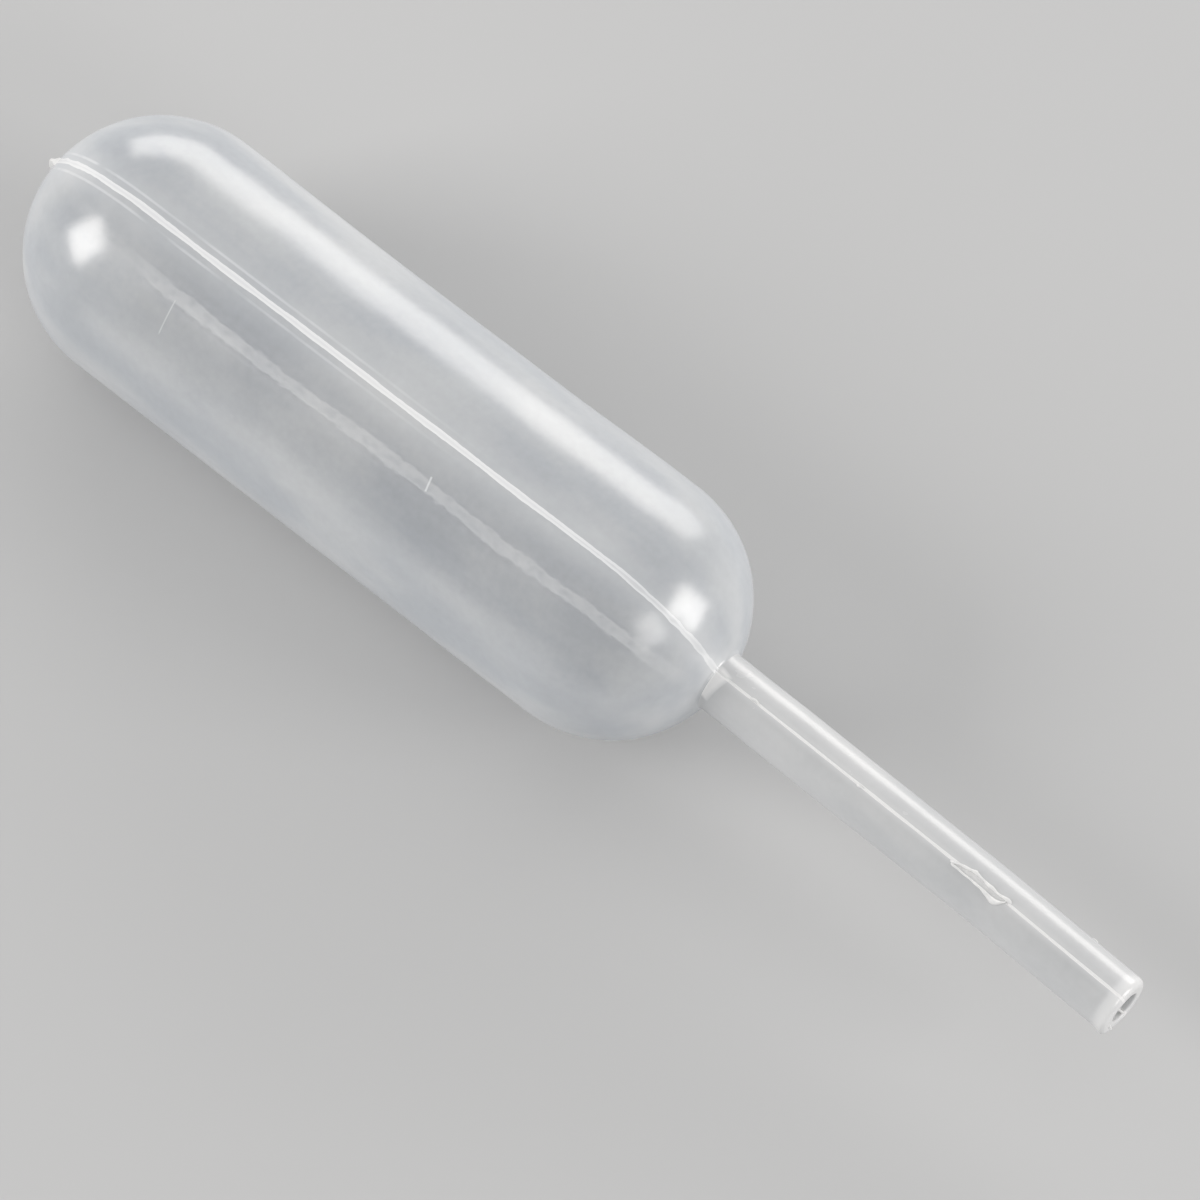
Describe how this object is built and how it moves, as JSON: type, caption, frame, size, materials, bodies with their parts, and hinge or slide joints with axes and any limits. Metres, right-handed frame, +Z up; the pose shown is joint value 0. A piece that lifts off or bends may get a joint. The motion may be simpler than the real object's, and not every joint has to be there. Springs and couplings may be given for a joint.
{
  "type": "squeeze dropper pipette",
  "caption": "One-piece translucent squeeze dropper with a capsule-shaped bulb and a thin open stem, for drawing up and dripping small amounts of liquid.",
  "frame": {"origin": "on the surface that the pipette lies on, under the middle of its length and of its bulb's width", "axes": "+X along the bulb's axis towards the tip, +Z up, square to the surface that it lies on"},
  "size_m": [0.065, 0.013, 0.013],
  "materials": {
    "milky_polyethylene": "translucent milky polyethylene with a satin gloss"
  },
  "bodies": {
    "root": {"pipette": "milky_polyethylene"}
  },
  "joints": []
}
